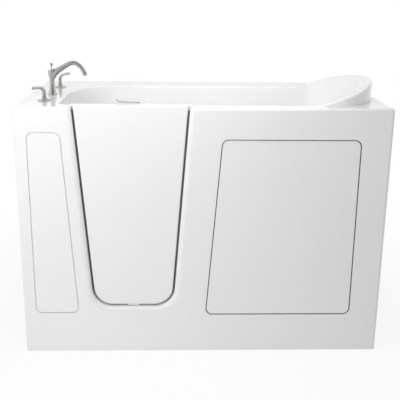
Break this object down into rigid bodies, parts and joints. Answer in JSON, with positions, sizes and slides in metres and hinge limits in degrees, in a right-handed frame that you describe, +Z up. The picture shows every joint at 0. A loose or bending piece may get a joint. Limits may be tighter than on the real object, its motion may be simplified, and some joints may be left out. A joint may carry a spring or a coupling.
{
  "type": "walk-in jetted bathtub",
  "caption": "White walk-in jetted bathtub with a tapered inward-opening door, moulded seat, raised headrest, deck faucet, water jets, pump and steel support frame.",
  "frame": {"origin": "centre of the footprint on the floor", "axes": "+X along the length from the door end towards the headrest, +Y from the front apron towards the wall behind, +Z up"},
  "size_m": [1.524, 0.813, 1.2161],
  "materials": {
    "gelcoat_white": "high-gloss white gel-coat",
    "door_foam": "rigid foam",
    "gasket_black": "soft seal",
    "stainless": "brushed",
    "brushed_nickel": "brushed nickel plating",
    "chrome_trim": "polished",
    "white_trim": "moulded white",
    "pvc_white": "pipe grade",
    "valve_brass": "cast",
    "copper_pipe": "drawn copper",
    "black_plastic": "moulded",
    "motor_paint": "satin",
    "galvanised": "zinc grey",
    "air_hose": "flexible"
  },
  "bodies": {
    "tub": {"tub_shell": "gelcoat_white", "front_apron": "gelcoat_white", "door_frame": "gelcoat_white", "left_access_panel": "gelcoat_white", "right_access_panel": "gelcoat_white", "panel_clips": "black_plastic", "hinge_rod": "stainless", "hinge_brackets": "stainless", "latch_keeper": "stainless", "handle_bases": "brushed_nickel", "valve_bodies": "valve_brass", "spout": "brushed_nickel", "aerator": "black_plastic", "faucet_nuts": "valve_brass", "faucet_pipes": "copper_pipe", "drain_body": "chrome_trim", "drain_nut": "valve_brass", "drain_tee": "pvc_white", "overflow_pipe": "pvc_white", "overflow_plate": "chrome_trim", "drain_conduit": "black_plastic", "jet_bodies": "pvc_white", "jet_trims": "white_trim", "jet_nuts": "pvc_white", "suction_fitting": "pvc_white", "suction_cover": "white_trim", "suction_nut": "pvc_white", "suction_pipe": "pvc_white", "pump_wet_end": "black_plastic", "pump_motor": "motor_paint", "pump_base": "galvanised", "water_manifold": "pvc_white", "air_manifold": "air_hose", "air_control_body": "white_trim", "air_button_bezel": "white_trim", "control_nuts": "pvc_white", "air_switch_tube": "air_hose", "support_frame": "galvanised", "levelling_feet": "stainless", "foot_nuts": "stainless"},
    "door": {"door_skin": "gelcoat_white", "door_liner": "gelcoat_white", "door_core": "door_foam", "door_gasket": "gasket_black", "hinge_straps": "stainless", "strap_screws": "stainless"},
    "latch": {"latch_lever": "white_trim"},
    "front_tap": {"front_tap_lever": "brushed_nickel"},
    "rear_tap": {"rear_tap_lever": "brushed_nickel"},
    "lift_rod": {"lift_rod": "brushed_nickel"},
    "stopper": {"drain_stopper": "chrome_trim"},
    "air_knob": {"air_control_knob": "white_trim"},
    "air_button": {"air_button": "white_trim"},
    "impeller": {"pump_impeller": "black_plastic"},
    "nozzle_1": {"jet_nozzle_1": "white_trim"},
    "nozzle_2": {"jet_nozzle_2": "white_trim"},
    "nozzle_3": {"jet_nozzle_3": "white_trim"},
    "nozzle_4": {"jet_nozzle_4": "white_trim"},
    "nozzle_5": {"jet_nozzle_5": "white_trim"},
    "nozzle_6": {"jet_nozzle_6": "white_trim"}
  },
  "joints": [
    {"name": "door_hinge", "type": "hinge", "parent": "tub", "child": "door", "pos_m": [-0.548, -0.3095, 0.63], "axis": [0, 0, 1], "range_deg": [0, 84]},
    {"name": "latch_turn", "type": "hinge", "parent": "door", "child": "latch", "pos_m": [-0.098, -0.3225, 1.039], "axis": [0, -1, 0], "range_deg": [0, 90]},
    {"name": "front_tap_turn", "type": "hinge", "parent": "tub", "child": "front_tap", "pos_m": [-0.659, -0.2485, 1.067], "axis": [0, 0, 1], "range_deg": [0, 90]},
    {"name": "rear_tap_turn", "type": "hinge", "parent": "tub", "child": "rear_tap", "pos_m": [-0.659, 0.1655, 1.067], "axis": [0, 0, 1], "range_deg": [0, 90]},
    {"name": "lift_rod_slide", "type": "slide", "parent": "tub", "child": "lift_rod", "axis": [0, 0, 1], "range_m": [-0.012, 0]},
    {"name": "stopper_slide", "type": "slide", "parent": "tub", "child": "stopper", "axis": [0, 0, 1], "range_m": [0, 0.009]},
    {"name": "nozzle_1_turn", "type": "hinge", "parent": "tub", "child": "nozzle_1", "pos_m": [0.11, -0.3365, 0.68], "axis": [0, 1, 0], "range_deg": [0, 90]},
    {"name": "nozzle_2_turn", "type": "hinge", "parent": "tub", "child": "nozzle_2", "pos_m": [0.26, -0.3365, 0.68], "axis": [0, 1, 0], "range_deg": [0, 90]},
    {"name": "nozzle_3_turn", "type": "hinge", "parent": "tub", "child": "nozzle_3", "pos_m": [0.11, 0.2385, 0.68], "axis": [0, -1, 0], "range_deg": [0, 90]},
    {"name": "nozzle_4_turn", "type": "hinge", "parent": "tub", "child": "nozzle_4", "pos_m": [0.26, 0.2385, 0.68], "axis": [0, -1, 0], "range_deg": [0, 90]},
    {"name": "nozzle_5_turn", "type": "hinge", "parent": "tub", "child": "nozzle_5", "pos_m": [0.04, -0.179, 0.33], "axis": [-1, 0, 0], "range_deg": [0, 90]},
    {"name": "nozzle_6_turn", "type": "hinge", "parent": "tub", "child": "nozzle_6", "pos_m": [0.04, 0.081, 0.33], "axis": [-1, 0, 0], "range_deg": [0, 90]},
    {"name": "air_knob_turn", "type": "hinge", "parent": "tub", "child": "air_knob", "pos_m": [0.26, -0.3365, 0.982], "axis": [0, 1, 0], "range_deg": [0, 270]},
    {"name": "air_button_push", "type": "slide", "parent": "tub", "child": "air_button", "axis": [0, -1, 0], "range_m": [0, 0.004], "stiffness_N_per_m": 500},
    {"name": "pump_spin", "type": "hinge", "parent": "tub", "child": "impeller", "pos_m": [0.215, -0.049, 0.215], "axis": [1, 0, 0], "continuous": true}
  ],
  "couplings": [
    {"joint": "stopper_slide", "follows": "lift_rod_slide", "ratio": -0.75}
  ]
}
